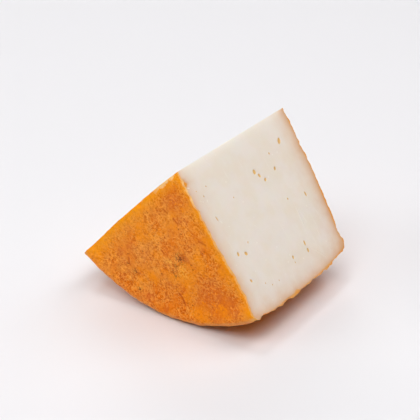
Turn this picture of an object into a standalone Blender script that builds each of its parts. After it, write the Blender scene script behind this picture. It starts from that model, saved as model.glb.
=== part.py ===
"""A wedge of goat cheese, about a fifth of a small wheel with an orange rubbed rind.

Metres, +Z up. The wedge stands on the wheel's curved side with its sharp inner edge on top, and
the origin is on the ground below the middle of its box. The wheel is turned about its own axis,
in a frame where z runs from the near flat face to the far one and y points down once it lies on
its side. Knives, eyes and the ground then cut the turned wheel.
"""

import math
import random

import bmesh
import bpy
from mathutils import Euler, Matrix, Vector, noise

# Wheel: radii are from the wheel's axis, depths along it from the near face.
SIDE_RADIUS = 0.0708
SIDE_FULLEST_DEPTH = 0.038
NEAR_SIDE_DROP = 0.0016
FAR_SIDE_DROP = 0.0021
WHEEL_HEIGHT = 0.0753
NEAR_RIM_ROUND = 0.0036
FAR_RIM_ROUND = 0.0018
FAR_RIM_DEPTH = 0.0704

# Near face: a shallow hollow inside a raised lip that the mould left.
NEAR_HOLLOW_RADIUS = 0.056
NEAR_HOLLOW_WIDTH = 0.011
NEAR_HOLLOW_DEPTH = 0.0011
NEAR_LIP_RISE = 0.0004

# Far face: a low dome, with a hollow and a stronger lip near its rim.
DOME_RADIUS = 0.060
DOME_DROP = 0.0051
LIP_RADIUS = 0.0662
LIP_WIDTH = 0.0034
FAR_LIP_RISE = 0.0013

# Rind relief: knobs and slow swells, full on the side and low on the flat faces, and one dent.
KNOB_SIZE = 0.0062
KNOB_HEIGHT = 0.00065
SWELL_SIZE = 0.017
SWELL_HEIGHT = 0.0007
FACE_RELIEF = 0.35
RELIEF_SHIFT = Vector((13.1, 44.2, 0.9))
DENT_PLACE = Vector((0.0140, 0.0160, 0.0750))
DENT_SIZE = 0.0035
DENT_DEPTH = 0.0008

# Cuts: both start at the tip, and their angles are from straight down.
TIP = Vector((0.00486, 0.0025))
RIGHT_CUT_ANGLE = math.radians(34.35)
LEFT_CUT_ANGLE = math.radians(-43.8)
CUT_LENGTH = 0.068
RIGHT_CUT_BULGE = 0.0004
LEFT_CUT_BULGE = 0.0008
CUT_WAVE_SIZE = 0.022
CUT_WAVE_HEIGHT = 0.00018

# Knives: blocks larger than the wheel. Their facets differ, so that no corners meet at the tip.
KNIFE_REACH = 0.180
KNIFE_WIDTH = 0.100
KNIFE_THICKNESS = 0.170
KNIFE_OFFSET = 0.0025
RIGHT_CUT_FACET = 0.0050
LEFT_CUT_FACET = 0.0053

# Eyes of the right cut: distance from the tip, depth, length, width, lean from the radius.
RIGHT_EYES = (
    (0.0109, 0.0627, 0.0023, 0.0011, -40),
    (0.0194, 0.0517, 0.0014, 0.0010, -40),
    (0.0160, 0.0394, 0.0019, 0.0012, -10),
    (0.0183, 0.0411, 0.0015, 0.0010, 20),
    (0.0210, 0.0432, 0.0013, 0.0009, -60),
    (0.0354, 0.0619, 0.0016, 0.0009, 0),
    (0.0230, 0.0071, 0.0028, 0.0008, 9),
    (0.0389, 0.0083, 0.0015, 0.0010, -10),
    (0.0405, 0.0124, 0.0016, 0.0012, 50),
    (0.0516, 0.0468, 0.0022, 0.0009, -5),
    (0.0547, 0.0467, 0.0019, 0.0010, -5),
    (0.0533, 0.0363, 0.0013, 0.0009, -20),
    (0.0502, 0.0078, 0.0013, 0.0009, 30),
)
EYE_DEPTH_SHARE = 0.7

# Eyes of the left cut: spread at random within these limits.
LEFT_EYE_COUNT = 12
LEFT_EYE_SEED = 5
LEFT_EYE_DISTANCES = (0.012, 0.060)
LEFT_EYE_DEPTHS = (0.008, 0.066)
LEFT_EYE_LENGTHS = (0.0012, 0.0024)
LEFT_EYE_WIDTH_SHARES = (0.4, 0.8)
LEFT_EYE_LEANS = (-60, 60)

# Rest: the wheel's axis is level, and its weight has pressed a small flat on the side.
PRESSED_FLAT = 0.0008
AXIS_PLACE = Vector((0.0014, -0.0374, SIDE_RADIUS - PRESSED_FLAT))
LYING = Euler((math.radians(-90), 0, 0))

# Mesh fineness
TURN_STEPS = 190
PROFILE_STEP = 0.0023
ROUND_POINTS = 4
WELD = 0.00001
GROUND_SIZE = 0.2

RIND_COLOUR = (0.69, 0.19, 0.02)
PASTE_COLOUR = (0.80, 0.69, 0.55)


def hump(distance, width):
    """1 in the middle, fading to 0 over about two widths."""
    return math.exp(-((distance / width) ** 2))


def side_radius(depth):
    """Radius of the barrelled side at a depth from the near face."""
    if depth < SIDE_FULLEST_DEPTH:
        share = (SIDE_FULLEST_DEPTH - depth) / SIDE_FULLEST_DEPTH
        return SIDE_RADIUS - NEAR_SIDE_DROP * share**2
    share = (depth - SIDE_FULLEST_DEPTH) / (FAR_RIM_DEPTH - SIDE_FULLEST_DEPTH)
    return SIDE_RADIUS - FAR_SIDE_DROP * share**2


def near_depth(radius):
    """Depth of the near face at a radius."""
    hollow = NEAR_HOLLOW_DEPTH * hump(radius - NEAR_HOLLOW_RADIUS, NEAR_HOLLOW_WIDTH)
    lip = (NEAR_LIP_RISE + hollow) * hump(radius - LIP_RADIUS, LIP_WIDTH)
    return hollow - lip


def far_depth(radius):
    """Depth of the far face at a radius."""
    dome = DOME_DROP * (radius / DOME_RADIUS) ** 2
    return WHEEL_HEIGHT - dome + FAR_LIP_RISE * hump(radius - LIP_RADIUS, LIP_WIDTH)


def evenly(start, end, step):
    """Numbers from start to end inclusive, about one step apart."""
    count = max(1, round(abs(end - start) / step))
    return [start + (end - start) * i / count for i in range(count + 1)]


def rim_round(centre_radius, centre_depth, size, from_angle):
    """Points on a quarter round of the rim, without its two ends."""
    points = []
    for i in range(1, ROUND_POINTS):
        angle = from_angle + math.radians(90) * i / ROUND_POINTS
        points.append((centre_radius + size * math.cos(angle), centre_depth + size * math.sin(angle)))
    return points


def wheel_profile():
    """(radius, depth) points from the middle of the near face, over the side, to the far one."""
    near_flat = side_radius(NEAR_RIM_ROUND) - NEAR_RIM_ROUND
    far_side_depth = FAR_RIM_DEPTH - FAR_RIM_ROUND
    far_flat = side_radius(far_side_depth) - FAR_RIM_ROUND
    near_centre_depth = near_depth(near_flat) + NEAR_RIM_ROUND
    far_centre_depth = far_depth(far_flat) - FAR_RIM_ROUND
    points = [(radius, near_depth(radius)) for radius in evenly(0, near_flat, PROFILE_STEP)]
    points += rim_round(near_flat, near_centre_depth, NEAR_RIM_ROUND, math.radians(-90))
    side_depths = evenly(near_centre_depth, far_centre_depth, PROFILE_STEP)
    points += [(side_radius(depth), depth) for depth in side_depths]
    points += rim_round(far_flat, far_centre_depth, FAR_RIM_ROUND, 0)
    points += [(radius, far_depth(radius)) for radius in evenly(far_flat, 0, PROFILE_STEP)]
    return points


def rind_relief(point, normal):
    """How far the rind stands out at a point of the turned wheel."""
    knobs = KNOB_HEIGHT * noise.noise(point / KNOB_SIZE + RELIEF_SHIFT)
    swells = SWELL_HEIGHT * noise.noise(point / SWELL_SIZE - RELIEF_SHIFT)
    on_side = 1 - abs(normal.z)
    dent = DENT_DEPTH * hump((point - DENT_PLACE).length, DENT_SIZE)
    return (knobs + swells) * (FACE_RELIEF + (1 - FACE_RELIEF) * on_side) - dent


def new_object(name, mesh, collection):
    obj = bpy.data.objects.new(name, mesh)
    collection.objects.link(obj)
    return obj


def turned_wheel(collection, material):
    """The whole wheel as a turned profile, with the rind's relief on it."""
    mesh = bpy.data.meshes.new("wheel_profile")
    profile = [(radius, 0, depth) for radius, depth in wheel_profile()]
    mesh.from_pydata(profile, [(i, i + 1) for i in range(len(profile) - 1)], [])
    turned = new_object("turned_profile", mesh, collection)
    screw = turned.modifiers.new("Turn", "SCREW")
    screw.axis = "Z"
    screw.steps = TURN_STEPS
    screw.render_steps = TURN_STEPS
    screw.use_merge_vertices = True
    screw.merge_threshold = WELD
    graph = bpy.context.evaluated_depsgraph_get()
    whole = bpy.data.meshes.new_from_object(turned.evaluated_get(graph))
    bpy.data.objects.remove(turned)
    shaped = bmesh.new()
    shaped.from_mesh(whole)
    bmesh.ops.remove_doubles(shaped, verts=shaped.verts, dist=WELD)
    bmesh.ops.recalc_face_normals(shaped, faces=shaped.faces)
    shaped.normal_update()
    moves = [(vert, vert.normal * rind_relief(vert.co, vert.normal)) for vert in shaped.verts]
    for vert, move in moves:
        vert.co += move
    shaped.to_mesh(whole)
    shaped.free()
    whole.name = "cheese_wedge"
    whole.materials.clear()
    whole.materials.append(material)
    return new_object("cheese_wedge", whole, collection)


def cut_frame(angle, outward_sign):
    """(direction along the cut from the tip, direction out of the wedge)."""
    along = Vector((math.sin(angle), math.cos(angle), 0))
    outward = Vector((math.cos(angle), -math.sin(angle), 0)) * outward_sign
    return along, outward


def cut_height(distance, depth, bulge):
    """How far the cut face stands out of its plane, where the knife swerved."""
    share = min(max(distance / CUT_LENGTH, 0), 1)
    place = Vector((distance, depth, bulge)) / CUT_WAVE_SIZE
    return bulge * math.sin(math.pi * share) + CUT_WAVE_HEIGHT * noise.noise(place)


def cut_point(frame, bulge, distance, depth, lift=0.0):
    """A point on a cut face, or above it by lift."""
    along, outward = frame
    out = cut_height(distance, depth, bulge) + lift
    return Vector((TIP.x, TIP.y, depth)) + along * distance + outward * out


def make_cutter(name, mesh, collection, material):
    mesh.materials.append(material)
    cutter = new_object(name, mesh, collection)
    cutter.hide_render = True
    cutter.display_type = "WIRE"
    return cutter


def edges_along(mesh, axis, length):
    """Edges at least half of length long along an axis."""
    return [edge for edge in mesh.edges if abs((edge.verts[0].co - edge.verts[1].co)[axis]) > length / 2]


def knife(name, frame, bulge, facet, collection, material):
    """A block whose near side follows the cut face; it covers all that the cut takes away."""
    block = bmesh.new()
    bmesh.ops.create_cube(block, size=1)
    bmesh.ops.scale(block, vec=(KNIFE_REACH, KNIFE_WIDTH, KNIFE_THICKNESS), verts=block.verts)
    middle = (KNIFE_OFFSET, WHEEL_HEIGHT / 2, KNIFE_THICKNESS / 2)
    bmesh.ops.translate(block, vec=middle, verts=block.verts)
    for axis, length in ((0, KNIFE_REACH), (1, KNIFE_WIDTH)):
        edges = edges_along(block, axis, length)
        cuts = round(length / facet) - 1
        bmesh.ops.subdivide_edges(block, edges=edges, cuts=cuts, use_grid_fill=True)
    for vert in block.verts:
        distance, depth, lift = vert.co
        vert.co = cut_point(frame, bulge, distance, depth, lift)
    block.normal_update()
    bmesh.ops.recalc_face_normals(block, faces=block.faces)
    mesh = bpy.data.meshes.new(name)
    block.to_mesh(mesh)
    block.free()
    return make_cutter(name, mesh, collection, material)


def left_eyes():
    """Eyes of the left cut, spread at random and of the right cut's sizes."""
    draw = random.Random(LEFT_EYE_SEED)
    eyes = []
    for _ in range(LEFT_EYE_COUNT):
        distance = draw.uniform(*LEFT_EYE_DISTANCES)
        depth = draw.uniform(*LEFT_EYE_DEPTHS)
        length = draw.uniform(*LEFT_EYE_LENGTHS)
        width = length * draw.uniform(*LEFT_EYE_WIDTH_SHARES)
        eyes.append((distance, depth, length, width, draw.uniform(*LEFT_EYE_LEANS)))
    return eyes


def eye_cutter(name, frame, bulge, eyes, collection, material):
    """Small ellipsoids centred on a cut face, one for each eye."""
    along, outward = frame
    holes = bmesh.new()
    for distance, depth, length, width, lean in eyes:
        turn = Matrix.Rotation(math.radians(lean), 3, outward)
        long_axis = turn @ along
        short_axis = outward.cross(long_axis)
        sizes = Vector((length, width, length * EYE_DEPTH_SHARE)) / 2
        axes = Matrix((long_axis * sizes.x, short_axis * sizes.y, outward * sizes.z)).transposed()
        place = Matrix.Translation(cut_point(frame, bulge, distance, depth)) @ axes.to_4x4()
        bmesh.ops.create_icosphere(holes, subdivisions=2, radius=1, matrix=place)
    holes.normal_update()
    bmesh.ops.recalc_face_normals(holes, faces=holes.faces)
    mesh = bpy.data.meshes.new(name)
    holes.to_mesh(mesh)
    holes.free()
    return make_cutter(name, mesh, collection, material)


def ground_cutter(collection, material):
    """The ground under the wedge, which presses the flat that it stands on."""
    block = bmesh.new()
    bmesh.ops.create_cube(block, size=GROUND_SIZE)
    mesh = bpy.data.meshes.new("ground_cutter")
    block.to_mesh(mesh)
    block.free()
    cutter = make_cutter("ground_cutter", mesh, collection, material)
    cutter.location.z = -GROUND_SIZE / 2
    return cutter


def subtract(target, cutter):
    boolean = target.modifiers.new(cutter.name, "BOOLEAN")
    boolean.operation = "DIFFERENCE"
    boolean.solver = "EXACT"
    boolean.material_mode = "TRANSFER"
    boolean.object = cutter


def food_material(name, colour, roughness):
    material = bpy.data.materials.new(name)
    material.use_nodes = True
    shader = material.node_tree.nodes["Principled BSDF"]
    shader.inputs["Base Color"].default_value = (*colour, 1)
    shader.inputs["Roughness"].default_value = roughness
    shader.inputs["Metallic"].default_value = 0
    return material


def new_collection(name):
    collection = bpy.data.collections.new(name)
    bpy.context.scene.collection.children.link(collection)
    return collection


def main():
    for obj in list(bpy.data.objects):
        bpy.data.objects.remove(obj)
    cheese = new_collection("goat_cheese_wedge")
    cutters = new_collection("cutters")
    rind = food_material("rind", RIND_COLOUR, 0.6)
    paste = food_material("paste", PASTE_COLOUR, 0.5)

    axis = bpy.data.objects.new("wheel_axis", None)
    cheese.objects.link(axis)
    axis.location = AXIS_PLACE
    axis.rotation_euler = LYING

    wedge = turned_wheel(cheese, rind)
    right = cut_frame(RIGHT_CUT_ANGLE, 1)
    left = cut_frame(LEFT_CUT_ANGLE, -1)
    lying_cutters = [
        knife("right_knife", right, RIGHT_CUT_BULGE, RIGHT_CUT_FACET, cutters, paste),
        knife("left_knife", left, LEFT_CUT_BULGE, LEFT_CUT_FACET, cutters, paste),
        eye_cutter("right_eyes", right, RIGHT_CUT_BULGE, RIGHT_EYES, cutters, paste),
        eye_cutter("left_eyes", left, LEFT_CUT_BULGE, left_eyes(), cutters, paste),
    ]
    for obj in [wedge, *lying_cutters]:
        obj.parent = axis
    for cutter in [*lying_cutters, ground_cutter(cutters, rind)]:
        subtract(wedge, cutter)


main()
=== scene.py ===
"""A wedge of goat cheese with an orange rubbed rind, on a plain pale floor under soft light.

The wedge is one closed mesh. Its rind is laid out in rows from the near tip, over the near face,
the side and the far face, to the far tip. Each cut face is a triangulated sheet that shares the
ends of those rows. Sizes are in metres, in the wheel's own frame: z runs from the near face to
the far one, and y points down.
"""

import math
import random
from typing import NamedTuple

import bmesh
import bpy
import numpy as np
from mathutils import Euler, Matrix, Vector, noise
from mathutils.geometry import delaunay_2d_cdt, intersect_point_line
from mathutils.kdtree import KDTree


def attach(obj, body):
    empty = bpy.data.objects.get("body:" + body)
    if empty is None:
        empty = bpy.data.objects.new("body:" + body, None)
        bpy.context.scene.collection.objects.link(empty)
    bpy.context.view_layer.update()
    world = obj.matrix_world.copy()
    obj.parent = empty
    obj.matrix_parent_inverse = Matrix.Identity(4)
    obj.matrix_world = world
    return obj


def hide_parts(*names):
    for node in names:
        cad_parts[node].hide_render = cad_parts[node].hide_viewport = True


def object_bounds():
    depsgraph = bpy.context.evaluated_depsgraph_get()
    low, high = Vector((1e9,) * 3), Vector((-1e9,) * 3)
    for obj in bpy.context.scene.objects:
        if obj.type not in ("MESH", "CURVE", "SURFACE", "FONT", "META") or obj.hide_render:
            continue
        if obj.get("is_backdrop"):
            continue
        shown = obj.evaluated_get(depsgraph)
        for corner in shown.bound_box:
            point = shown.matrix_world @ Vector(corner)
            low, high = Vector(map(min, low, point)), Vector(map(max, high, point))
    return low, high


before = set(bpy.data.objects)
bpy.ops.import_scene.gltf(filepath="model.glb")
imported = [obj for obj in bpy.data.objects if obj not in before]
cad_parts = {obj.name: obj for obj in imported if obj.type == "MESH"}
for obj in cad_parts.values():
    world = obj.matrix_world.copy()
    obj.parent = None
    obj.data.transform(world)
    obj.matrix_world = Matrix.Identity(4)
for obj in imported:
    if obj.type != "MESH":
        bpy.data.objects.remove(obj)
cad_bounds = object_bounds()


class Paint(NamedTuple):
    """A colour in screen values of 0 to 255, and how much it hides of what is below it."""

    red: int
    green: int
    blue: int
    cover: float = 1.0

    def linear(self):
        return tuple((value / 255) ** 2.2 for value in self[:3]) + (1,)


class Blotches(NamedTuple):
    """Patches where a noise is high: its feature size, seed and detail, and its values where a
    patch begins and where it is whole. With begin above whole, they lie where it is low."""

    size: float
    seed: int
    detail: float
    begin: float
    whole: float


class Strokes(NamedTuple):
    """Curly strokes along the middle lines of a noise, as wide as a share of its range."""

    size: float
    seed: int
    width: float


NODE = "cheese_wedge"

# Wheel: radii are from the wheel's axis, depths along it from the near face.
SIDE_RADIUS = 0.0708
SIDE_FULLEST_DEPTH = 0.038
NEAR_SIDE_DROP = 0.0016
FAR_SIDE_DROP = 0.0021
WHEEL_HEIGHT = 0.0753
NEAR_RIM_ROUND = 0.0036
FAR_RIM_ROUND = 0.0018
FAR_RIM_DEPTH = 0.0704
NEAR_HOLLOW_RADIUS = 0.056
NEAR_HOLLOW_WIDTH = 0.011
NEAR_HOLLOW_DEPTH = 0.0011
NEAR_LIP_RISE = 0.0004
DOME_RADIUS = 0.060
DOME_DROP = 0.0051
LIP_RADIUS = 0.0662
LIP_WIDTH = 0.0034
FAR_LIP_RISE = 0.0013

# Broad relief of the rind, shared with the solid.
KNOB_SIZE = 0.0062
KNOB_HEIGHT = 0.00065
SWELL_SIZE = 0.017
SWELL_HEIGHT = 0.0007
FACE_RELIEF = 0.35
RELIEF_SHIFT = Vector((13.1, 44.2, 0.9))
DENT_PLACE = Vector((0.0140, 0.0160, 0.0750))
DENT_SIZE = 0.0035
DENT_DEPTH = 0.0008

# Fine relief of the rind: (feature size, height).
WRINKLE = (0.0026, 0.00013)
GRAIN = (0.0011, 0.00009)
PIT = (0.0024, 0.00030)
CHIP = (0.0030, 0.00070)

# A pit's width as a share of the pits' spacing, the spacings over which they come and go, and
# how much more of the rind has them than has none.
PIT_SHARE = 0.22
PIT_CLUSTER = 3
PIT_BIAS = 0.1

# Chips stay this close to the cuts, and are a fractal noise.
CHIP_REACH = 0.0012
CHIP_EVENNESS = 0.9
CHIP_LACUNARITY = 2
CHIP_OCTAVES = 3

# Marks on the near face: ((distance along the right cut, distance in from it), size).
STAINS = (
    ((0.0311, 0.0204), 0.0023),
    ((0.0332, 0.0241), 0.0010),
    ((0.0347, 0.0268), 0.0011),
    ((0.0368, 0.0274), 0.0007),
    ((0.0368, 0.0489), 0.0010),
    ((0.0255, 0.0483), 0.0008),
    ((0.0294, 0.0470), 0.0014),
)
GILT_PATCHES = (
    ((0.0368, 0.0225), 0.0032),
    ((0.0310, 0.0265), 0.0019),
)
FLUSHES = (
    ((0.0394, 0.0326), 0.0020),
    ((0.0413, 0.0462), 0.0026),
    ((0.0580, 0.0080), 0.0045),
    ((0.0500, 0.0150), 0.0080),
    ((0.0555, 0.0190), 0.0022),
    ((0.0095, 0.0090), 0.0045),
    ((0.0110, 0.0022), 0.0014),
    ((0.0234, 0.0247), 0.0006),
)
FLECKS = (
    ((0.0320, 0.0324), 0.00040),
    ((0.0342, 0.0224), 0.00036),
    ((0.0428, 0.0236), 0.00050),
    ((0.0018, 0.0040), 0.00060),
    ((0.0023, 0.0127), 0.00050),
    ((0.0333, 0.0076), 0.00040),
    ((0.0080, 0.0009), 0.00090),
)
FLECK_HEIGHT = 0.00025

# Cracks of the near face, each a line of such places.
CRACKS = (
    ((0.0232, 0.0467), (0.0245, 0.0478), (0.0260, 0.0481)),
    ((0.0439, 0.0310), (0.0464, 0.0303), (0.0494, 0.0307)),
    ((0.0108, 0.0158), (0.0128, 0.0148)),
    ((0.0155, 0.0134), (0.0182, 0.0128)),
    ((0.0275, 0.0074), (0.0286, 0.0059), (0.0297, 0.0050)),
)
CRACK_WIDTH = 0.00036
CRACK_DEPTH = 0.00018

# Cuts
TIP = Vector((0.00486, 0.0025))
RIGHT_CUT_ANGLE = math.radians(34.35)
LEFT_CUT_ANGLE = math.radians(-43.8)
CUT_LENGTH = 0.068
RIGHT_CUT_BULGE = 0.0004
LEFT_CUT_BULGE = 0.0008
CUT_WAVE_SIZE = 0.022
CUT_WAVE_HEIGHT = 0.00018
CRUMBLE = (0.0016, 0.00004)

# Places where the rind reaches over the right cut: edge, place along it, half width, reach.
RIGHT_FLAPS = (
    ("from_near", 0.0056, 0.0011, 0.0019),
    ("from_near", 0.0038, 0.0008, 0.0012),
    ("from_side", 0.0288, 0.0016, 0.0009),
    ("from_side", 0.0220, 0.0040, 0.0005),
    ("from_far", 0.0180, 0.0030, 0.0006),
    ("from_far", 0.0420, 0.0080, 0.0004),
)

# Rest
PRESSED_FLAT = 0.0008
AXIS_PLACE = Vector((0.0014, -0.0374, SIDE_RADIUS - PRESSED_FLAT))
LYING = Euler((math.radians(-90), 0, 0))

# Spots of the right cut: distance from the tip, depth, length, width, lean in degrees.
RIGHT_EYES = (
    (0.0109, 0.0627, 0.0033, 0.0020, -40),
    (0.0130, 0.0530, 0.0011, 0.0009, 0),
    (0.0194, 0.0517, 0.0019, 0.0014, -40),
    (0.0160, 0.0394, 0.0024, 0.0020, -10),
    (0.0183, 0.0411, 0.0021, 0.0015, 20),
    (0.0210, 0.0432, 0.0019, 0.0014, -60),
    (0.0327, 0.0499, 0.0012, 0.0009, 0),
    (0.0354, 0.0619, 0.0024, 0.0012, 0),
    (0.0230, 0.0071, 0.0028, 0.0009, 9),
    (0.0389, 0.0083, 0.0020, 0.0014, -10),
    (0.0405, 0.0124, 0.0021, 0.0016, 50),
    (0.0516, 0.0468, 0.0026, 0.0012, -5),
    (0.0549, 0.0467, 0.0022, 0.0014, -5),
    (0.0533, 0.0363, 0.0017, 0.0013, -20),
    (0.0555, 0.0360, 0.0010, 0.0006, 0),
    (0.0502, 0.0078, 0.0017, 0.0012, 30),
    (0.0545, 0.0144, 0.0008, 0.0006, 0),
    (0.0567, 0.0176, 0.0008, 0.0006, 0),
    (0.0570, 0.0222, 0.0008, 0.0006, 0),
    (0.0374, 0.0163, 0.0011, 0.0006, -40),
    (0.0198, 0.0211, 0.0008, 0.0006, 0),
    (0.0131, 0.0064, 0.0009, 0.0006, 0),
    (0.0103, 0.0101, 0.0010, 0.0005, 60),
    (0.0100, 0.0040, 0.0008, 0.0005, 30),
)
RIGHT_CRUMBS = (
    (0.0140, 0.0036, 0.0012, 0.0006, 50),
    (0.0147, 0.0046, 0.0008, 0.0005, -20),
    (0.0152, 0.0069, 0.0014, 0.0005, -30),
    (0.0250, 0.0083, 0.0018, 0.0005, 20),
    (0.0074, 0.0010, 0.0015, 0.0006, 70),
    (0.0417, 0.0515, 0.0135, 0.0008, -6),
    (0.0592, 0.0527, 0.0086, 0.0007, 39),
)

# Depth and height are shares of a spot's width. A spot longer than its filling times its width
# takes its colour less fully.
EYE_DEPTH_SHARE = 0.22
EYE_FILLING = 2
EYE_LIP_HEIGHT = 0.00009
EYE_LIP_SHARE = 1.3
EYE_LIP_WIDTH = 0.25
CRUMB_HEIGHT_SHARE = 0.20
CRUMB_FILLING = 4

# Eyes of the left cut: how many, and the ranges that their measures are drawn from.
LEFT_EYE_COUNT = 12
LEFT_EYE_SEED = 5
LEFT_EYE_DISTANCES = (0.012, 0.060)
LEFT_EYE_DEPTHS = (0.008, 0.066)
LEFT_EYE_LENGTHS = (0.0012, 0.0024)
LEFT_EYE_WIDTH_SHARES = (0.4, 0.8)
LEFT_EYE_LEANS = (-60, 60)

# Mesh fineness of the rind: the rows' spacing, and how near the rim a face row bends to the cut.
NEAR_STEP = 0.00036
SIDE_STEP = 0.00056
FAR_STEP = 0.0005
TIP_STEP = 0.0005
SWERVE_FADE = 0.02
CUT_MEETING_ROUNDS = 4
SHARP_ANGLE = math.radians(50)

# Mesh fineness of the cuts: rows along the edge, rings round a spot in shares of its size, and
# the grid's clearances from both.
CUT_STEP = 0.00075
EDGE_ROWS = (0.00028, 0.00065, 0.00115)
EDGE_ROW_CLEARANCE = 0.8
GRID_CLEARANCE = EDGE_ROWS[-1] + 0.4 * CUT_STEP
SPOT_RINGS = (0.35, 0.65, 0.85, 1.0, 1.2, 1.6)
SPOT_RING_STEP = 0.00022
SPOT_RING_LEAST = 8
SPOT_CLEARANCE = SPOT_RINGS[-1] + 0.25
MERGE_DISTANCE = 1e-9

# Marks that the mesh carries for its materials, one number a point. Distances are in metres.
MARKS = (
    "from_near", "from_side", "from_far", "from_right", "from_left", "from_tip",
    "eye", "stain", "gilt", "flush", "fleck", "crack",
)
NEAR_FACING = -0.5

# Camera: its view, and where the near end of the inner edge lies from it.
VIEW_AZIMUTH = math.radians(34.5)
VIEW_ELEVATION = math.radians(27.6)
TIP_RIGHT = -0.01223
TIP_UP = 0.01415
TIP_AHEAD = 0.4275
FOCAL_PIXELS = 1150
PICTURE_PIXELS = 420
SENSOR_MM = 36

# Floor and light. A lamp's azimuth is from -Y towards +X; then its elevation, width and power.
FLOOR_RADIUS = 2.2
FLOOR_SIDES = 96
FLOOR_COLOUR = (0.80, 0.79, 0.81, 1)
FLOOR_ROUGHNESS = 0.9
FLOOR_SPECULAR = 0.1
LAMPS = (
    (0, 55, 1.4, 20.0),
    (45, 55, 1.4, 13.4),
    (90, 75, 1.2, 11.3),
    (135, 55, 1.4, 14.9),
    (225, 25, 1.4, 17.0),
    (270, 75, 0.7, 10.1),
    (315, 25, 1.4, 13.6),
)
LAMP_DISTANCE = 2.5
ROOM_COLOUR = (1, 1, 1, 1)
HORIZON_STRENGTH = 0.88
SKY_STRENGTH = 0.02
HORIZON_FADE = (0.02, 0.12)

# Paints of the rind, in the order that they are laid in.
RIND_BASE = Paint(232, 136, 44)
RIND_STRONG = Paint(229, 117, 0)
RIND_REDDISH = Paint(208, 96, 38, 0.55)
RIND_BLOOM = Paint(230, 150, 70, 0.45)
RIND_VIVID = Paint(246, 146, 0, 0.70)
# The deep and pale strokes and grain: partly the rind's own brown and pale tones, partly painted
# shade and painted highlight of its fine relief.
RIND_BROWN_STROKE_AND_SHADE = Paint(184, 66, 0, 0.43)
RIND_PALE_STROKE_AND_HIGHLIGHT = Paint(252, 176, 78, 0.45)
RIND_BROWN_GRAIN_AND_SHADE = Paint(184, 66, 0, 0.36)
RIND_PALE_GRAIN_AND_HIGHLIGHT = Paint(252, 176, 78, 0.34)
RIND_SPECK = Paint(140, 46, 0, 0.65)
RIND_FLUSH = Paint(208, 96, 38, 0.60)
RIND_STAIN = Paint(122, 62, 32, 0.85)
RIND_GILT = Paint(250, 184, 76, 0.70)
RIND_CRACK = Paint(184, 66, 0, 0.80)
RIND_FLECK = Paint(252, 176, 78, 0.90)
RIND_EDGE = Paint(252, 160, 0, 0.78)
RIND_CRUST = Paint(242, 182, 104, 0.85)
RIND_FLAKE = Paint(250, 206, 140, 0.85)
# Painted highlight: a paler band where the near face's rounded rim catches light from the floor.
RIND_RIM_HIGHLIGHT = Paint(226, 156, 92, 0.60)
RIND_CORNER = Paint(242, 182, 104, 0.55)

# Where they lie. Strong paint lies in patches, and thickens with the distance from the tip beyond
# that from the cut: that gain is painted shade, darker towards the lower rim.
STRONG_PATCHES = Blotches(0.0110, 1, 3.0, 0.40, 0.66)
STRONG_SHADE_GAIN = 4.0
REDDISH_PATCHES = Blotches(0.0045, 2, 2.0, 0.52, 0.66)
BLOOM_PATCHES = Blotches(0.0060, 16, 3.0, 0.48, 0.66)
VIVID_PATCHES = Blotches(0.0090, 3, 4.0, 0.48, 0.62)
BUSY_PATCHES = Blotches(0.0075, 6, 2.0, 0.32, 0.56)
BUSY_OFF_VIVID = (1.8, 0.2)
# Deep strokes and grain carry painted shade, pale ones painted highlight, beside the rind's own
# tones.
DEEP_STROKES = (Strokes(0.0027, 4, 0.060), Strokes(0.0015, 5, 0.055))
PALE_STROKES = (Strokes(0.0022, 7, 0.060), Strokes(0.0013, 8, 0.055))
STROKE_DETAIL = 1.0
STROKE_CORE = 0.3
DEEP_GRAIN = Blotches(0.0009, 9, 1.0, 0.46, 0.28)
PALE_GRAIN = Blotches(0.0009, 9, 1.0, 0.56, 0.76)
SPECK_SPACING = 0.0023
SPECK_FADE = (0.20, 0.10)
SPECKLED_PATCHES = Blotches(0.0045, 10, 2.0, 0.54, 0.60)
FLUSH_BREAKS = Blotches(0.0009, 11, 1.0, 0.34, 0.54)
STAIN_BREAKS = Blotches(0.0007, 18, 1.0, 0.42, 0.56)
GILT_CURLS = Strokes(0.0016, 19, 0.075)

# Along the rind's edges. A noise of a size, seed and detail makes them uneven by up to a reach.
EDGE_PATCHES = Blotches(0.0035, 12, 3.0, -0.1, 0.9)
RIGHT_EDGE_REACH = 0.0014
LEFT_EDGE_REACH = 0.0015
CRUST_NOISE = (0.0013, 15, 2.0)
CRUST_REACH = 0.0018
CRUST_FADE = (0.0, -0.0006)
FLAKE_NOISE = (0.0019, 17, 3.0)
FLAKE_REACH = 0.0046
FLAKE_FADE = (-0.0014, -0.0022)
FLAKES_FROM_TIP = (0.020, 0.009)
# Width of the painted highlight along the near face's rounded rim.
RIM_HIGHLIGHT_FADE = (0.0017, 0.0007)
FACE_FADE = (0.0060, 0.0030)
CORNER_FROM_CUT = (0.0040, 0.0010)
CORNER_FROM_SIDE = (0.0024, 0.0012)

# Finish of the rind
RIND_ROUGHNESS = Blotches(0.003, 13, 2.0, -0.6, 1.6)
RIND_BUMP_NOISE = (0.0006, 14, 3.0)
RIND_BUMP = 0.00008
RIND_SPECULAR = 0.08
RIND_GLOW = 0.12
RIND_GLOW_RADIUS = (1.0, 0.35, 0.08)
RIND_GLOW_SCALE = 0.0012

# Paints of the paste, in the order that they are laid in.
PASTE_IVORY = Paint(237, 226, 215)
PASTE_WARM = Paint(235, 222, 206)
PASTE_DRAG = Paint(250, 243, 230, 0.20)
PASTE_SPECK = Paint(250, 243, 230, 0.50)
# Painted highlight: near-white paste along the inner edge, which lies on top and catches the light
# from above.
PASTE_TOP_EDGE_HIGHLIGHT = Paint(250, 243, 230, 0.80)
PASTE_RIPE = Paint(212, 148, 86)
PASTE_CRUST = Paint(232, 152, 40)
PASTE_EYE = Paint(222, 179, 108)
PASTE_CRUMB = Paint(250, 243, 230, 0.60)

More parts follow.
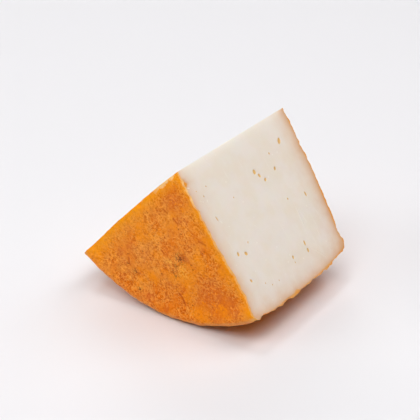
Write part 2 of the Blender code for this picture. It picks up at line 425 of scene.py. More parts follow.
# Where they lie. A drag of the knife is drawn out along the cut.
WARM_PATCHES = Blotches(0.009, 21, 3.0, 0.35, 0.65)
DRAG_WIDTH = 0.0014
DRAG_LENGTH = 0.016
DRAG_SEED = 0.5
DRAG_DETAIL = 1.0
DRAG_FADE = (0.66, 0.76)
PASTE_SPECK_SPACING = 0.0045
PASTE_SPECK_FADE = (0.10, 0.05)
# Reach of the painted highlight along the inner edge.
TOP_EDGE_HIGHLIGHT_REACH = 0.0022
EYE_FADE = (0.15, 0.75)

# Under the rind, by the mark that tells the distance from it: (strength, reach) of the ripe
# paste, and (strength, fade) of the rind's line on the cut.
RIPENESS = {
    "from_near": (0.62, 0.0027),
    "from_side": (0.82, 0.0030),
    "from_far": (0.95, 0.0037),
}
RIND_LINES = {
    "from_near": (0.9, (-0.0003, -0.0012)),
    "from_side": (0.6, (0.0004, -0.0003)),
    "from_far": (0.6, (0.0004, -0.0003)),
}
RIPE_NOISE = (0.004, 22, 2.0)
RIPE_EVENNESS = 0.5
LINE_NOISE = (0.0012, 23, 2.0)
LINE_REACH = 0.0008

# Finish of the paste
PASTE_ROUGHNESS = Blotches(0.004, 24, 2.0, -0.9, 1.7)
PASTE_BUMP_NOISE = (0.0005, 25, 3.0)
PASTE_BUMP = 0.00004
DRAG_BUMP_SHARE = 0.5
PASTE_SPECULAR = 0.25
PASTE_GLOW = 0.35
PASTE_GLOW_RADIUS = (1.0, 0.65, 0.40)
PASTE_GLOW_SCALE = 0.0025


def hump(distance, width):
    """1 in the middle, fading to 0 over about two widths."""
    return math.exp(-((distance / width) ** 2))


def side_radius(depth):
    """Radius of the barrelled side at a depth from the near face."""
    if depth < SIDE_FULLEST_DEPTH:
        share = (SIDE_FULLEST_DEPTH - depth) / SIDE_FULLEST_DEPTH
        return SIDE_RADIUS - NEAR_SIDE_DROP * share**2
    share = (depth - SIDE_FULLEST_DEPTH) / (FAR_RIM_DEPTH - SIDE_FULLEST_DEPTH)
    return SIDE_RADIUS - FAR_SIDE_DROP * share**2


def near_depth(radius):
    """Depth of the near face at a radius."""
    hollow = NEAR_HOLLOW_DEPTH * hump(radius - NEAR_HOLLOW_RADIUS, NEAR_HOLLOW_WIDTH)
    lip = (NEAR_LIP_RISE + hollow) * hump(radius - LIP_RADIUS, LIP_WIDTH)
    return hollow - lip


def far_depth(radius):
    """Depth of the far face at a radius."""
    dome = DOME_DROP * (radius / DOME_RADIUS) ** 2
    return WHEEL_HEIGHT - dome + FAR_LIP_RISE * hump(radius - LIP_RADIUS, LIP_WIDTH)


def rind_relief(point, normal):
    """How far the rind's broad knobs and swells stand out at a point."""
    knobs = KNOB_HEIGHT * noise.noise(point / KNOB_SIZE + RELIEF_SHIFT)
    swells = SWELL_HEIGHT * noise.noise(point / SWELL_SIZE - RELIEF_SHIFT)
    on_side = 1 - abs(normal.z)
    dent = DENT_DEPTH * hump((point - DENT_PLACE).length, DENT_SIZE)
    return (knobs + swells) * (FACE_RELIEF + (1 - FACE_RELIEF) * on_side) - dent


def fine_relief(point, from_cut):
    """The rind's wrinkles, grain, pits and the chips along its cut edges."""
    wrinkle = WRINKLE[1] * noise.noise(point / WRINKLE[0] + RELIEF_SHIFT)
    grain = GRAIN[1] * noise.noise(point / GRAIN[0] - RELIEF_SHIFT)
    nearest = noise.voronoi(point / PIT[0], distance_metric="DISTANCE")[0][0]
    pitted = max(0, noise.noise(point / (PIT[0] * PIT_CLUSTER)) + PIT_BIAS)
    pit = PIT[1] * pitted * hump(nearest, PIT_SHARE)
    chips = noise.fractal(point / CHIP[0], CHIP_EVENNESS, CHIP_LACUNARITY, CHIP_OCTAVES)
    return wrinkle + grain - pit + CHIP[1] * chips * hump(from_cut, CHIP_REACH)


def cut_height(distance, depth, bulge):
    """How far a cut face stands out of its plane, where the knife swerved."""
    share = min(max(distance / CUT_LENGTH, 0), 1)
    place = Vector((distance, depth, bulge)) / CUT_WAVE_SIZE
    return bulge * math.sin(math.pi * share) + CUT_WAVE_HEIGHT * noise.noise(place)


class Cut:
    """One knife cut, with the direction along it from the tip and the one out of the wedge."""

    def __init__(self, angle, outward_sign, bulge, eyes, crumbs=(), flaps=()):
        self.along = Vector((math.sin(angle), math.cos(angle), 0))
        self.outward = Vector((math.cos(angle), -math.sin(angle), 0)) * outward_sign
        self.bulge = bulge
        self.eyes = eyes
        self.crumbs = crumbs
        self.flaps = flaps

    def point(self, distance, depth, lift):
        """The point at a distance from the tip and a depth, lifted off the cut face."""
        out = cut_height(distance, depth, self.bulge) + lift
        return Vector((TIP.x, TIP.y, depth)) + self.along * distance + self.outward * out

    def flat(self, point):
        """(distance from the tip, depth) of a point."""
        from_tip = Vector((point.x - TIP.x, point.y - TIP.y, 0))
        return from_tip.dot(self.along), point.z

    def inward(self, point):
        """Distance of a point from the cut's plane, into the wedge."""
        return -Vector((point.x - TIP.x, point.y - TIP.y, 0)).dot(self.outward)

    def turn_at(self, radius, depth):
        """Angle from straight down, round the wheel's axis, where the cut meets a radius."""
        distance = radius
        for _ in range(CUT_MEETING_ROUNDS):
            start = TIP.to_3d() + self.outward * cut_height(distance, depth, self.bulge)
            toward = start.dot(self.along)
            distance = -toward + math.sqrt(toward**2 - start.length_squared + radius**2)
        meeting = start + self.along * distance
        return math.atan2(meeting.x, meeting.y)


def evenly(start, end, step):
    """Numbers from start to end inclusive, about one step apart."""
    count = max(1, round(abs(end - start) / step))
    return [start + (end - start) * i / count for i in range(count + 1)]


def on_wheel(radius, depth, turn):
    """The point at a radius and a depth, turned round the wheel's axis from straight down."""
    return Vector((radius * math.sin(turn), radius * math.cos(turn), depth))


class Rind:
    """The rind's points, row by row, each with its outward direction."""

    def __init__(self, right, left):
        self.right = right
        self.left = left
        self.points = []
        self.normals = []
        self.rows = []

    def add_row(self, row):
        """Adds a row of (point, normal)."""
        first = len(self.points)
        for point, normal in row:
            self.points.append(point)
            self.normals.append(normal)
        self.rows.append(range(first, first + len(row)))

    def add_round_row(self, radius, depth, normal_out, normal_deep, step):
        """A row round the wheel's axis, from the right cut to the left one."""
        start = self.right.turn_at(radius, depth)
        end = self.left.turn_at(radius, depth)
        row = []
        for turn in evenly(start, end, step / radius):
            normal = on_wheel(normal_out, normal_deep, turn)
            row.append((on_wheel(radius, depth, turn), normal.normalized()))
        self.add_row(row)

    def add_face_row(self, share, rim_radius, depth_at, facing, step):
        """A row on a flat face: the rim's arc drawn in towards the tip by a share."""
        rim_depth = depth_at(rim_radius)
        start = self.right.turn_at(rim_radius, rim_depth)
        end = self.left.turn_at(rim_radius, rim_depth)
        off_rim = min(1, (1 - share) / SWERVE_FADE)
        row = []
        for turn in evenly(start, end, step / (rim_radius * share)):
            rim = Vector((rim_radius * math.sin(turn), rim_radius * math.cos(turn)))
            place = TIP + (rim - TIP) * share
            distance = (place - TIP).length
            depth = depth_at(place.length)
            towards_left = (turn - start) / (end - start)
            for cut, nearness in ((self.right, 1 - towards_left), (self.left, towards_left)):
                swerve = cut_height(distance, depth, cut.bulge) * nearness**2 * off_rim
                place = place + cut.outward.to_2d() * swerve
            row.append((Vector((place.x, place.y, depth)), Vector((0, 0, facing))))
        self.add_row(row)

    def add_tip(self, depth, facing):
        """The row of one point where a flat face ends at the inner edge."""
        self.add_row([(Vector((TIP.x, TIP.y, depth)), Vector((0, 0, facing)))])

    def add_rim(self, flat_radius, centre_depth, round_radius, turns, step):
        """Rows over the rounded rim between a flat face and the side."""
        for turn in evenly(*turns, step / round_radius)[1:]:
            out, deep = math.cos(turn), math.sin(turn)
            radius = flat_radius + round_radius * out
            self.add_round_row(radius, centre_depth + round_radius * deep, out, deep, step)


def lay_rind(right, left):
    """Rows of rind from the near tip to the far tip."""
    rind = Rind(right, left)
    near_flat = side_radius(NEAR_RIM_ROUND) - NEAR_RIM_ROUND
    far_flat = side_radius(FAR_RIM_DEPTH - FAR_RIM_ROUND) - FAR_RIM_ROUND
    near_centre = near_depth(near_flat) + NEAR_RIM_ROUND
    far_centre = far_depth(far_flat) - FAR_RIM_ROUND

    rind.add_tip(near_depth(TIP.length), -1)
    for share in evenly(0, 1, NEAR_STEP / near_flat)[1:]:
        rind.add_face_row(share, near_flat, near_depth, -1, NEAR_STEP)
    rind.add_rim(near_flat, near_centre, NEAR_RIM_ROUND, (-math.pi / 2, 0), NEAR_STEP)
    for depth in evenly(near_centre, far_centre, SIDE_STEP)[1:]:
        rind.add_round_row(side_radius(depth), depth, 1, 0, SIDE_STEP)
    rind.add_rim(far_flat, far_centre, FAR_RIM_ROUND, (0, math.pi / 2), FAR_STEP)
    for share in reversed(evenly(0, 1, FAR_STEP / far_flat)[1:-1]):
        rind.add_face_row(share, far_flat, far_depth, 1, FAR_STEP)
    rind.add_tip(far_depth(TIP.length), 1)
    return rind


def stitch(first, second):
    """Triangles between two rows of points that may differ in number."""
    faces = []
    i = j = 0
    last_i, last_j = len(first) - 1, len(second) - 1
    while i < last_i or j < last_j:
        next_i = (i + 1) / last_i if i < last_i else math.inf
        next_j = (j + 1) / last_j if j < last_j else math.inf
        if next_j <= next_i:
            faces.append((first[i], second[j], second[j + 1]))
            j += 1
        else:
            faces.append((first[i], second[j], first[i + 1]))
            i += 1
    return faces


def mark_at(flat, marked):
    """1 in the middle of any of the marked places of the near face, fading to 0 round them."""
    return max(hump((flat - Vector(place)).length, size) for place, size in marked)


def crack_at(flat):
    """1 in the middle of a crack of the near face, fading to 0 beside it."""
    gaps = []
    for crack in CRACKS:
        for start, end in zip(crack, crack[1:]):
            start, end = Vector(start), Vector(end)
            share = intersect_point_line(flat, start, end)[1]
            foot = start + (end - start) * min(max(share, 0), 1)
            gaps.append((flat - foot).length)
    return hump(min(gaps), CRACK_WIDTH)


def wheel_marks(point):
    """A point's distances from the wheel's near face, side and far face."""
    radius = math.hypot(point.x, point.y)
    return {
        "from_near": max(0, point.z - near_depth(radius)),
        "from_side": max(0, side_radius(point.z) - radius),
        "from_far": max(0, far_depth(radius) - point.z),
    }


def rind_point(point, normal, right, left):
    """A point of the rind raised by its relief, and its marks."""
    marks = wheel_marks(point)
    marks["from_right"] = max(0, right.inward(point))
    marks["from_left"] = max(0, left.inward(point))
    marks["from_tip"] = (point.xy - TIP).length
    from_cut = min(marks["from_right"], marks["from_left"])
    height = rind_relief(point, normal) + fine_relief(point, from_cut)
    if normal.z < NEAR_FACING:
        flat = Vector((right.flat(point)[0], marks["from_right"]))
        marks["stain"] = mark_at(flat, STAINS)
        marks["gilt"] = mark_at(flat, GILT_PATCHES)
        marks["flush"] = mark_at(flat, FLUSHES)
        marks["fleck"] = mark_at(flat, FLECKS)
        marks["crack"] = crack_at(flat)
        height += FLECK_HEIGHT * marks["fleck"] - CRACK_DEPTH * marks["crack"]
    return point + normal * height, marks


def left_eyes():
    """Eyes of the left cut, spread at random."""
    draw = random.Random(LEFT_EYE_SEED)
    eyes = []
    for _ in range(LEFT_EYE_COUNT):
        distance = draw.uniform(*LEFT_EYE_DISTANCES)
        depth = draw.uniform(*LEFT_EYE_DEPTHS)
        length = draw.uniform(*LEFT_EYE_LENGTHS)
        width = length * draw.uniform(*LEFT_EYE_WIDTH_SHARES)
        lean = draw.uniform(*LEFT_EYE_LEANS)
        eyes.append((distance, depth, length, width, lean))
    return eyes


def spot_share(spot, distance, depth):
    """0 at the middle of an eye or a crumb and 1 on its edge."""
    spot_distance, spot_depth, length, width, lean = spot
    across, down = distance - spot_distance, depth - spot_depth
    turn = math.radians(lean)
    along = across * math.cos(turn) + down * math.sin(turn)
    aside = down * math.cos(turn) - across * math.sin(turn)
    return math.hypot(along / (length / 2), aside / (width / 2))


def spot_rings(spot):
    """Points in and round an eye or a crumb, so that its edge is sharp."""
    distance, depth, length, width, lean = spot
    turn = math.radians(lean)
    points = [(distance, depth)]
    for ring in SPOT_RINGS:
        around = math.pi * (length + width) / 2 * ring
        count = max(SPOT_RING_LEAST, round(around / SPOT_RING_STEP))
        for i in range(count):
            angle = math.tau * i / count
            along = length / 2 * ring * math.cos(angle)
            aside = width / 2 * ring * math.sin(angle)
            x = distance + along * math.cos(turn) - aside * math.sin(turn)
            y = depth + along * math.sin(turn) + aside * math.cos(turn)
            points.append((x, y))
    return points


def inside(polygon, points):
    """Whether each point is inside the polygon."""
    xs, ys = points[:, :1], points[:, 1:]
    ax, ay = polygon[:, 0], polygon[:, 1]
    bx, by = np.roll(ax, -1), np.roll(ay, -1)
    crosses = (ay > ys) != (by > ys)
    rise = np.where(by == ay, 1.0, by - ay)
    crossing = ax + (ys - ay) * (bx - ax) / rise
    return (crosses & (xs < crossing)).sum(axis=1) % 2 == 1


def rows_inside(polygon):
    """Points a little inside the polygon, in rows that follow it, each with its clearance."""
    following = np.roll(polygon, -1, axis=0)
    middles = (polygon + following) / 2
    steps = following - polygon
    lengths = np.maximum(np.linalg.norm(steps, axis=1), MERGE_DISTANCE)
    inward = np.stack([-steps[:, 1], steps[:, 0]], axis=1) / lengths[:, None]
    area = (polygon[:, 0] * following[:, 1] - following[:, 0] * polygon[:, 1]).sum()
    inward *= math.copysign(1, area)
    for i, offset in enumerate(EDGE_ROWS):
        base = middles if i % 2 == 0 else polygon
        yield base + inward * offset, offset * EDGE_ROW_CLEARANCE


def grid_over(polygon):
    """An even triangular grid over the polygon's box."""
    low, high = polygon.min(axis=0), polygon.max(axis=0)
    row_step = CUT_STEP * math.sqrt(3) / 2
    grid = []
    for row in range(int((high[1] - low[1]) / row_step) + 1):
        shift = CUT_STEP / 2 * (row % 2)
        for x in np.arange(low[0] + shift, high[0], CUT_STEP):
            grid.append((x, low[1] + row * row_step))
    return np.array(grid)


def sheet_points(outline, spots):
    """Points that fill a cut face: rows along its edge, rings round its spots, and a grid."""
    polygon = np.array(outline)
    edge_tree = KDTree(len(outline))
    for i, (x, y) in enumerate(outline):
        edge_tree.insert((x, y, 0), i)
    edge_tree.balance()
    kept = []
    for points, clearance in [*rows_inside(polygon), (grid_over(polygon), GRID_CLEARANCE)]:
        for x, y in points[inside(polygon, points)]:
            if edge_tree.find((x, y, 0))[2] < clearance:
                continue
            if any(spot_share(spot, x, y) < SPOT_CLEARANCE for spot in spots):
                continue
            kept.append((x, y))
    for spot in spots:
        rings = np.array(spot_rings(spot))
        kept += [tuple(place) for place in rings[inside(polygon, rings)]]
    return kept


def cut_marks(cut, point, distance):
    """Marks of a point on a cut face, with the rind's flaps over its edges."""
    marks = wheel_marks(point)
    marks["from_tip"] = distance
    for mark, middle, width, reach in cut.flaps:
        along_edge = point.z if mark == "from_side" else distance
        marks[mark] -= reach * hump(along_edge - middle, width)
    return marks


def cut_point(cut, distance, depth):
    """A point of a cut face with its grain, its eyes' hollows and its crumbs, and its marks."""
    grain_size, grain_height = CRUMBLE
    height = grain_height * noise.noise(Vector((distance, depth, cut.bulge)) / grain_size)
    eye_mark = crumb_mark = 0
    for eye in cut.eyes:
        length, width = eye[2:4]
        share = spot_share(eye, distance, depth)
        if share < 1:
            hollow = math.sqrt(1 - share**2)
            height -= EYE_DEPTH_SHARE * width * hollow
            eye_mark = max(eye_mark, hollow * min(1, EYE_FILLING * width / length))
        height += EYE_LIP_HEIGHT * hump(share - EYE_LIP_SHARE, EYE_LIP_WIDTH)
    for crumb in cut.crumbs:
        length, width = crumb[2:4]
        share = spot_share(crumb, distance, depth)
        if share < 1:
            raised = math.sqrt(1 - share**2)
            height += CRUMB_HEIGHT_SHARE * width * raised
            crumb_mark = max(crumb_mark, raised * min(1, CRUMB_FILLING * width / length))
    point = cut.point(distance, depth, height)
    marks = cut_marks(cut, point, distance)
    marks["eye"] = eye_mark
    marks["fleck"] = crumb_mark
    return point, marks


def add_sheet(cut, outline, points, marks, faces):
    """Fills a cut face inside its outline of point numbers."""
    flat_outline = [cut.flat(points[i]) for i in outline]
    spots = [*cut.eyes, *cut.crumbs]
    flat = [Vector(place) for place in flat_outline + sheet_points(flat_outline, spots)]
    count = len(outline)
    border = [(i, (i + 1) % count) for i in range(count)]
    places, _, triangles, sources, _, _ = delaunay_2d_cdt(
        flat, border, [], 0, MERGE_DISTANCE, True
    )
    numbers = []
    for place, source in zip(places, sources):
        if source and min(source) < count:
            numbers.append(outline[min(source)])
            continue
        numbers.append(len(points))
        point, point_marks = cut_point(cut, place.x, place.y)
        points.append(point)
        marks.append(point_marks)
    centres = np.array([sum((places[i] for i in t), Vector((0, 0))) / 3 for t in triangles])
    for triangle, is_inside in zip(triangles, inside(np.array(flat_outline), centres)):
        if is_inside:
            faces.append([numbers[i] for i in triangle])


def build_wedge():
    """The wedge's points with their marks, its rind faces and its cut faces."""
    right = Cut(RIGHT_CUT_ANGLE, 1, RIGHT_CUT_BULGE, RIGHT_EYES, RIGHT_CRUMBS, RIGHT_FLAPS)
    left = Cut(LEFT_CUT_ANGLE, -1, LEFT_CUT_BULGE, left_eyes())
    rind = lay_rind(right, left)
    points, marks = [], []
    for point, normal in zip(rind.points, rind.normals):
        raised, point_marks = rind_point(point, normal, right, left)
        points.append(raised)
        marks.append(point_marks)
    rind_faces = []
    for first, second in zip(rind.rows, rind.rows[1:]):
        rind_faces += stitch(first, second)

    near_tip, far_tip = rind.rows[0][0], rind.rows[-1][0]
    tip_line = []
    for depth in evenly(points[near_tip].z, points[far_tip].z, TIP_STEP)[1:-1]:
        tip_line.append(len(points))
        points.append(Vector((TIP.x, TIP.y, depth)))
        marks.append(wheel_marks(points[-1]))

    cut_faces = []
    for cut, end in ((right, 0), (left, -1)):
        edge = [row[end] for row in rind.rows[1:-1]]
        outline = [near_tip, *tip_line, far_tip, *reversed(edge)]
        add_sheet(cut, outline, points, marks, cut_faces)
    return points, marks, rind_faces, cut_faces


def wedge_piece():
    """The wedge as an object, lying on its curved side, which its weight has pressed flat."""
    points, marks, rind_faces, cut_faces = build_wedge()
    for point in points:
        point.y = min(point.y, AXIS_PLACE.z)
    mesh = bpy.data.meshes.new("goat_cheese")
    mesh.from_pydata([tuple(point) for point in points], [], rind_faces + cut_faces)
    mesh.materials.append(rind_material())
    mesh.materials.append(paste_material())
    slots = [0] * len(rind_faces) + [1] * len(cut_faces)
    mesh.polygons.foreach_set("material_index", slots)
    for name in MARKS:
        mark = mesh.attributes.new(name, "FLOAT", "POINT")
        mark.data.foreach_set("value", [point_marks.get(name, 0) for point_marks in marks])
    mesh.transform(Matrix.Translation(AXIS_PLACE) @ LYING.to_matrix().to_4x4())
    shaped = bmesh.new()
    shaped.from_mesh(mesh)
    bmesh.ops.recalc_face_normals(shaped, faces=shaped.faces)
    shaped.to_mesh(mesh)
    shaped.free()
    mesh.shade_smooth()
    mesh.set_sharp_from_angle(angle=SHARP_ANGLE)
    wedge = bpy.data.objects.new("goat_cheese", mesh)
    bpy.context.scene.collection.objects.link(wedge)
    return wedge


class Nodes:
    """A material's nodes and the colour laid so far. A pattern's method returns its socket."""

    def __init__(self, name, colour):
        self.material = bpy.data.materials.new(name)
        self.material.use_nodes = True
        self.tree = self.material.node_tree
        self.colour = colour

    def put(self, socket, value):
        """Links a socket to another one, or sets it to a number or colour."""
        if isinstance(value, bpy.types.NodeSocket):
            self.tree.links.new(value, socket)
        else:
            socket.default_value = value

    def add(self, kind, inputs, output=0, **settings):
        node = self.tree.nodes.new(kind)
        for name, value in settings.items():
            setattr(node, name, value)
        for socket, value in inputs.items():
            self.put(node.inputs[socket], value)
        return node.outputs[output]

    def maths(self, operation, first, second=0):
        return self.add("ShaderNodeMath", {0: first, 1: second}, operation=operation)

    def mark(self, name):
        """A mark that the mesh carries."""
        return self.add("ShaderNodeAttribute", {}, "Fac", attribute_name=name)

    def place(self):
        return self.add("ShaderNodeTexCoord", {}, "Object")

    def noise(self, size, seed, detail):
        inputs = {"Vector": self.place(), "W": seed, "Scale": 1 / size, "Detail": detail}
        return self.add("ShaderNodeTexNoise", inputs, noise_dimensions="4D")

    def streaks(self, along, across):
        """Noise drawn out along one of two marks."""
        stretched = self.add("ShaderNodeCombineXYZ", {
            "X": self.maths("DIVIDE", along, DRAG_LENGTH),
            "Y": self.maths("DIVIDE", across, DRAG_WIDTH),
            "Z": DRAG_SEED,
        })
        inputs = {"Vector": stretched, "Scale": 1.0, "Detail": DRAG_DETAIL}
        return self.add("ShaderNodeTexNoise", inputs)

    def specks(self, spacing):
        """Distance from scattered points, in shares of their spacing."""
        inputs = {"Vector": self.place(), "Scale": 1 / spacing}
        return self.add("ShaderNodeTexVoronoi", inputs, "Distance")

    def step(self, value, begin, whole):
        """0 where the value hasn't reached begin and 1 past whole, smooth between."""
        inputs = {"Value": value, "From Min": begin, "From Max": whole}
        return self.add("ShaderNodeMapRange", inputs, interpolation_type="SMOOTHSTEP")

    def blotches(self, kind):
        return self.step(self.noise(kind.size, kind.seed, kind.detail), kind.begin, kind.whole)

    def strokes(self, kind):
        off_middle = self.maths("SUBTRACT", self.noise(kind.size, kind.seed, STROKE_DETAIL), 0.5)
        return self.step(self.maths("ABSOLUTE", off_middle), kind.width, kind.width * STROKE_CORE)

    def fade(self, distance, reach):
        """1 at no distance, falling away over the reach."""
        return self.maths("EXPONENT", self.maths("DIVIDE", distance, -reach))

    def roughened(self, distance, kind, reach):
        """A distance cut short unevenly, by a noise times a reach."""
        return self.maths("SUBTRACT", distance, self.maths("MULTIPLY", self.noise(*kind), reach))

    def all_of(self, *shares):
        product = shares[0]
        for share in shares[1:]:
            product = self.maths("MULTIPLY", product, share)
        return product

    def lay(self, paint, *shares):
        """Lays a paint over the colour so far, where all the shares let it."""
        node = self.tree.nodes.new("ShaderNodeMix")
        node.data_type = "RGBA"
        below, above = (socket for socket in node.inputs if socket.type == "RGBA")
        self.put(node.inputs[0], self.all_of(*shares, paint.cover))
        self.put(below, self.colour)
        self.put(above, paint.linear())
        self.colour = next(socket for socket in node.outputs if socket.type == "RGBA")

    def bump(self, height, distance):
        return self.add("ShaderNodeBump", {"Height": height, "Distance": distance, "Strength": 1.0})

    def finish(self, inputs):
        """Gives the shader its colour and its other inputs, and returns the material."""
        shader = self.tree.nodes["Principled BSDF"]
        self.put(shader.inputs["Base Color"], self.colour)
        for socket, value in inputs.items():
            self.put(shader.inputs[socket], value)
        return self.material


def paint_patches(nodes, vivid):
    """Dusty, strong, reddish, bloomed and vivid patches; the strong paint also thickens away from
    the tip as painted shade towards the lower rim.
    """
    # Painted shade: the strong paint grows with the distance from the tip, so the near face darkens
    # towards its lower rim.
    beyond_cut = nodes.maths("SUBTRACT", nodes.mark("from_tip"), nodes.mark("from_right"))
    painted_shade_outwards = nodes.maths("MULTIPLY", beyond_cut, STRONG_SHADE_GAIN)
    strong = nodes.maths("ADD", nodes.noise(*STRONG_PATCHES[:3]), painted_shade_outwards)
    nodes.lay(RIND_STRONG, nodes.step(strong, STRONG_PATCHES.begin, STRONG_PATCHES.whole))
    nodes.lay(RIND_REDDISH, nodes.blotches(REDDISH_PATCHES))
    nodes.lay(RIND_BLOOM, nodes.blotches(BLOOM_PATCHES))
    nodes.lay(RIND_VIVID, vivid)


def paint_strokes(nodes, vivid):
    """Curly strokes where the rind is busy, and grain and specks; the deep and pale strokes and
    grain are partly painted shade and highlight.
    """
    busy = nodes.all_of(nodes.blotches(BUSY_PATCHES), nodes.step(vivid, *BUSY_OFF_VIVID))
    # Partly painted shade (deep) and painted highlight (pale) of the fine relief, partly the rind's
    # own tones.
    for paint, kinds in ((RIND_BROWN_STROKE_AND_SHADE, DEEP_STROKES), (RIND_PALE_STROKE_AND_HIGHLIGHT, PALE_STROKES)):
        for kind in kinds:
            nodes.lay(paint, nodes.strokes(kind), busy)
    # Partly painted shade (deep) and painted highlight (pale) of the fine relief, partly the rind's
    # own tones.
    nodes.lay(RIND_BROWN_GRAIN_AND_SHADE, nodes.blotches(DEEP_GRAIN))
    nodes.lay(RIND_PALE_GRAIN_AND_HIGHLIGHT, nodes.blotches(PALE_GRAIN))
    specks = nodes.step(nodes.specks(SPECK_SPACING), *SPECK_FADE)
    nodes.lay(RIND_SPECK, specks, nodes.blotches(SPECKLED_PATCHES))


def paint_marks(nodes):
    """The single marks of the near face."""
    nodes.lay(RIND_FLUSH, nodes.mark("flush"), nodes.blotches(FLUSH_BREAKS))
    nodes.lay(RIND_STAIN, nodes.mark("stain"), nodes.blotches(STAIN_BREAKS))
    nodes.lay(RIND_GILT, nodes.mark("gilt"), nodes.strokes(GILT_CURLS))
    nodes.lay(RIND_CRACK, nodes.mark("crack"))
    nodes.lay(RIND_FLECK, nodes.mark("fleck"))


def paint_edges(nodes, beside_cuts, uneven):
    """Gold along the cuts, paste that clings there, flakes at the tip, the paler corner, and a
    painted highlight on the near face's rounded rim.
    """
    right, left, rim = nodes.mark("from_right"), nodes.mark("from_left"), nodes.mark("from_side")
    nodes.lay(RIND_EDGE, beside_cuts)
    crust = nodes.roughened(right, CRUST_NOISE, CRUST_REACH)
    nodes.lay(RIND_CRUST, nodes.step(crust, *CRUST_FADE))
    flakes = nodes.roughened(nodes.maths("MINIMUM", right, left), FLAKE_NOISE, FLAKE_REACH)
    near_tip = nodes.step(nodes.mark("from_tip"), *FLAKES_FROM_TIP)
    nodes.lay(RIND_FLAKE, nodes.step(flakes, *FLAKE_FADE), near_tip)
    on_face = nodes.step(nodes.mark("from_near"), *FACE_FADE)
    # Painted highlight: a paler band along the near face's rounded rim, where it catches light from
    # the floor.
    nodes.lay(RIND_RIM_HIGHLIGHT, nodes.step(nodes.maths("MULTIPLY", rim, uneven), *RIM_HIGHLIGHT_FADE), on_face)
    by_cut, by_side = nodes.step(right, *CORNER_FROM_CUT), nodes.step(rim, *CORNER_FROM_SIDE)
    nodes.lay(RIND_CORNER, by_cut, by_side, on_face)


def rind_material():
    """Orange rubbed rind: patches, curly strokes, single marks, then what shows at its edges."""
    nodes = Nodes("orange_rind", RIND_BASE.linear())
    uneven = nodes.blotches(EDGE_PATCHES)
    by_cuts = [
        nodes.fade(nodes.maths("MULTIPLY", nodes.mark(name), uneven), reach)
        for name, reach in (("from_right", RIGHT_EDGE_REACH), ("from_left", LEFT_EDGE_REACH))
    ]
    beside_cuts = nodes.maths("MAXIMUM", *by_cuts)
    vivid = nodes.maths("MAXIMUM", nodes.blotches(VIVID_PATCHES), beside_cuts)
    paint_patches(nodes, vivid)
    paint_strokes(nodes, vivid)
    paint_marks(nodes)
    paint_edges(nodes, beside_cuts, uneven)
    return nodes.finish({
        "Roughness": nodes.blotches(RIND_ROUGHNESS),
        "Normal": nodes.bump(nodes.noise(*RIND_BUMP_NOISE), RIND_BUMP),
        "Specular IOR Level": RIND_SPECULAR,
        "Subsurface Weight": RIND_GLOW,
        "Subsurface Radius": RIND_GLOW_RADIUS,
        "Subsurface Scale": RIND_GLOW_SCALE,
    })


def paint_ripeness(nodes):
    """Tan paste under the rind, and the rind's own line on the edge of the cut."""
    uneven = nodes.maths("ADD", nodes.noise(*RIPE_NOISE), RIPE_EVENNESS)
    for name, (strength, reach) in RIPENESS.items():
        ripe = nodes.fade(nodes.maths("MULTIPLY", nodes.mark(name), uneven), reach)
        nodes.lay(PASTE_RIPE, ripe, strength)
    for name, (strength, fade) in RIND_LINES.items():
        line = nodes.step(nodes.roughened(nodes.mark(name), LINE_NOISE, LINE_REACH), *fade)
        nodes.lay(PASTE_CRUST, line, strength)


def paste_material():
    """Ivory paste that ripens to tan under the rind, with amber eyes and a painted highlight along
    the inner edge on top.
    """
    nodes = Nodes("ivory_paste", PASTE_IVORY.linear())
    tip = nodes.mark("from_tip")
    nodes.lay(PASTE_WARM, nodes.blotches(WARM_PATCHES))
    drags = nodes.step(nodes.streaks(tip, nodes.mark("from_near")), *DRAG_FADE)
    nodes.lay(PASTE_DRAG, drags)
    nodes.lay(PASTE_SPECK, nodes.step(nodes.specks(PASTE_SPECK_SPACING), *PASTE_SPECK_FADE))
    # Painted highlight along the inner edge on top.
    nodes.lay(PASTE_TOP_EDGE_HIGHLIGHT, nodes.fade(tip, TOP_EDGE_HIGHLIGHT_REACH))
    paint_ripeness(nodes)
    nodes.lay(PASTE_EYE, nodes.step(nodes.mark("eye"), *EYE_FADE))
    nodes.lay(PASTE_CRUMB, nodes.mark("fleck"))
    drag_bump = nodes.maths("MULTIPLY", drags, DRAG_BUMP_SHARE)
    bump = nodes.maths("ADD", nodes.noise(*PASTE_BUMP_NOISE), drag_bump)
    return nodes.finish({
        "Roughness": nodes.blotches(PASTE_ROUGHNESS),
        "Normal": nodes.bump(bump, PASTE_BUMP),
        "Specular IOR Level": PASTE_SPECULAR,
        "Subsurface Weight": PASTE_GLOW,
        "Subsurface Radius": PASTE_GLOW_RADIUS,
        "Subsurface Scale": PASTE_GLOW_SCALE,
    })


def floor_material():
    nodes = Nodes("pale_floor", FLOOR_COLOUR)
    return nodes.finish({"Roughness": FLOOR_ROUGHNESS, "Specular IOR Level": FLOOR_SPECULAR})


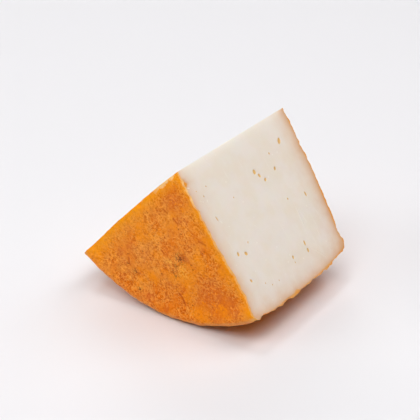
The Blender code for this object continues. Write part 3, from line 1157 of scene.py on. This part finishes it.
def add_floor():
    """A round floor, whose edge meets the room's horizon alike from all sides."""
    disk = bmesh.new()
    bmesh.ops.create_circle(disk, cap_ends=True, radius=FLOOR_RADIUS, segments=FLOOR_SIDES)
    mesh = bpy.data.meshes.new("floor")
    disk.to_mesh(mesh)
    disk.free()
    mesh.materials.append(floor_material())
    floor = bpy.data.objects.new("floor", mesh)
    bpy.context.scene.collection.objects.link(floor)
    floor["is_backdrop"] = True


def add_lamp(azimuth, elevation, width, power):
    """A soft disk lamp that points at the wedge."""
    around, above = math.radians(azimuth), math.radians(elevation)
    direction = Vector((
        math.sin(around) * math.cos(above),
        -math.cos(around) * math.cos(above),
        math.sin(above),
    ))
    light = bpy.data.lights.new("softbox", "AREA")
    light.shape = "DISK"
    light.size = width
    light.energy = power
    lamp = bpy.data.objects.new("softbox", light)
    lamp.location = direction * LAMP_DISTANCE
    lamp.rotation_euler = (-direction).to_track_quat("-Z", "Y").to_euler()
    bpy.context.scene.collection.objects.link(lamp)


def add_room():
    """A dim room whose horizon is as bright as the floor."""
    room = bpy.data.worlds.new("room")
    room.use_nodes = True
    tree = room.node_tree
    place = tree.nodes.new("ShaderNodeTexCoord")
    split = tree.nodes.new("ShaderNodeSeparateXYZ")
    fade = tree.nodes.new("ShaderNodeMapRange")
    background = tree.nodes["Background"]
    tree.links.new(place.outputs["Generated"], split.inputs["Vector"])
    tree.links.new(split.outputs["Z"], fade.inputs["Value"])
    tree.links.new(fade.outputs["Result"], background.inputs["Strength"])
    fade.inputs["From Min"].default_value = HORIZON_FADE[0]
    fade.inputs["From Max"].default_value = HORIZON_FADE[1]
    fade.inputs["To Min"].default_value = HORIZON_STRENGTH
    fade.inputs["To Max"].default_value = SKY_STRENGTH
    background.inputs["Color"].default_value = ROOM_COLOUR
    bpy.context.scene.world = room


def add_camera():
    """The camera at the photograph's viewing angle, aimed by the near end of the inner edge."""
    ahead = Vector((
        -math.sin(VIEW_AZIMUTH) * math.cos(VIEW_ELEVATION),
        math.cos(VIEW_AZIMUTH) * math.cos(VIEW_ELEVATION),
        -math.sin(VIEW_ELEVATION),
    ))
    across = Vector((math.cos(VIEW_AZIMUTH), math.sin(VIEW_AZIMUTH), 0))
    up = across.cross(ahead)
    near_tip = AXIS_PLACE + Vector((TIP.x, 0, -TIP.y))
    place = near_tip - across * TIP_RIGHT - up * TIP_UP - ahead * TIP_AHEAD
    lens = bpy.data.cameras.new("camera")
    lens.sensor_width = SENSOR_MM
    lens.lens = SENSOR_MM * FOCAL_PIXELS / PICTURE_PIXELS
    camera = bpy.data.objects.new("camera", lens)
    bpy.context.scene.collection.objects.link(camera)
    turn = Matrix((across, up, -ahead)).transposed().to_4x4()
    camera.matrix_world = Matrix.Translation(place) @ turn
    bpy.context.scene.camera = camera


add_camera()
add_floor()
add_room()
for lamp in LAMPS:
    add_lamp(*lamp)
bpy.context.scene.view_settings.view_transform = "Standard"

wedge = wedge_piece()
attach(wedge, "root")
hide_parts(NODE)

[[list(corner) for corner in box] for box in (cad_bounds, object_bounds())]
